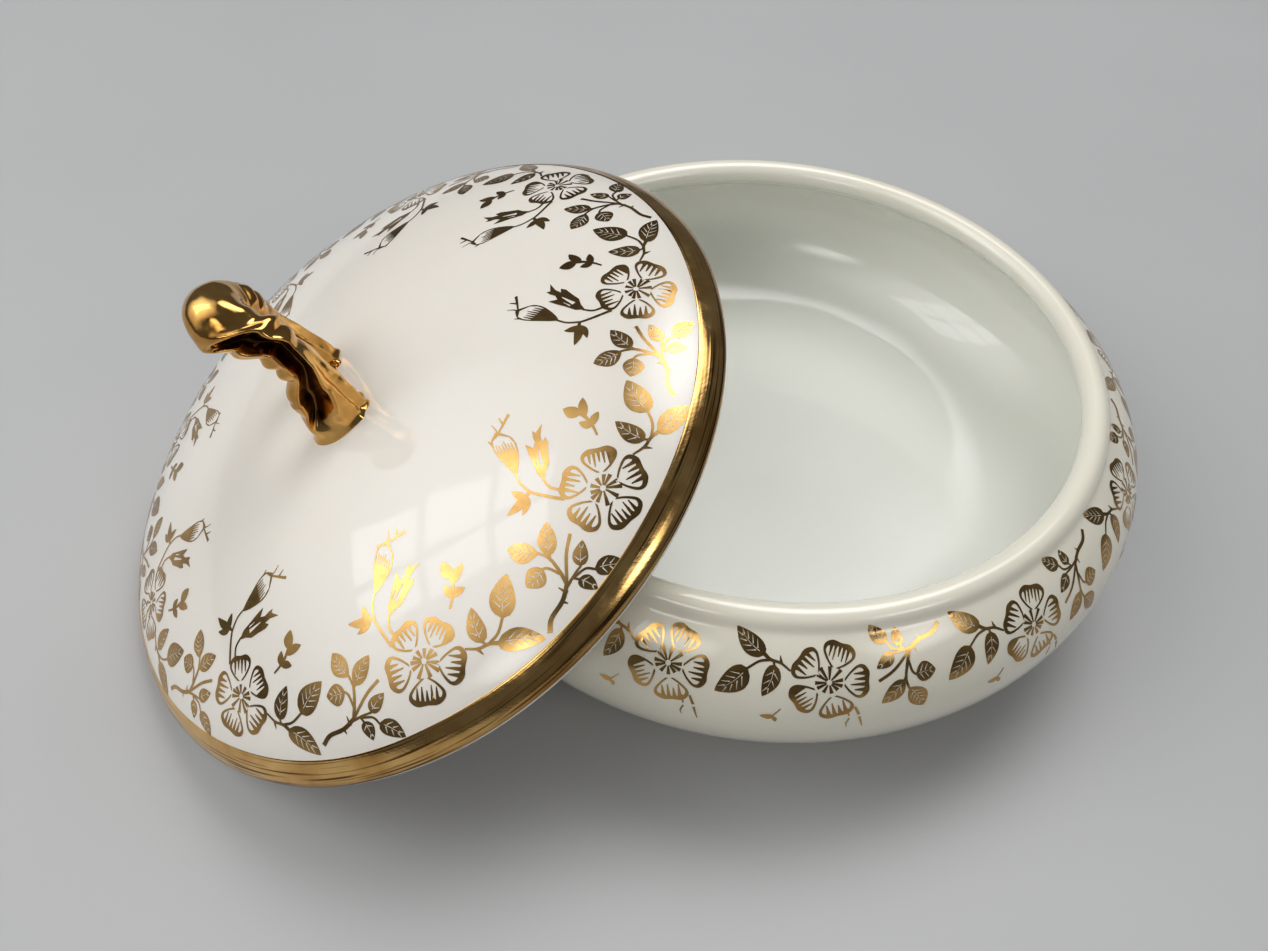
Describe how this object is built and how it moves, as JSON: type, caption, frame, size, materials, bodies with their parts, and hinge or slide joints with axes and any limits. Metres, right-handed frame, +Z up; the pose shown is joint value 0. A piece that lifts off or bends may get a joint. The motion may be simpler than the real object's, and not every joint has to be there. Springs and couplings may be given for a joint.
{
  "type": "porcelain trinket box",
  "caption": "Squat round porcelain trinket box with a gilt-edged domed lid and a gilt leafy loop handle; the lid lifts off and here leans on the bowl.",
  "frame": {"origin": "on the table, under the middle of the whole object's bounding box", "axes": "+Z up, +X from the leaning lid towards the bowl, +Y across"},
  "size_m": [0.15, 0.1096, 0.0555],
  "materials": {
    "porcelain": "clear high-gloss glaze over warm white porcelain",
    "gilding": "bright burnished gold, fired on"
  },
  "bodies": {
    "bowl": {"bowl": "porcelain"},
    "lid": {"lid": "porcelain", "handle": "gilding"}
  },
  "joints": [
    {"name": "lid_lift", "type": "slide", "parent": "bowl", "child": "lid", "axis": [0, 0, 1], "range_m": [0, 0.06]}
  ]
}
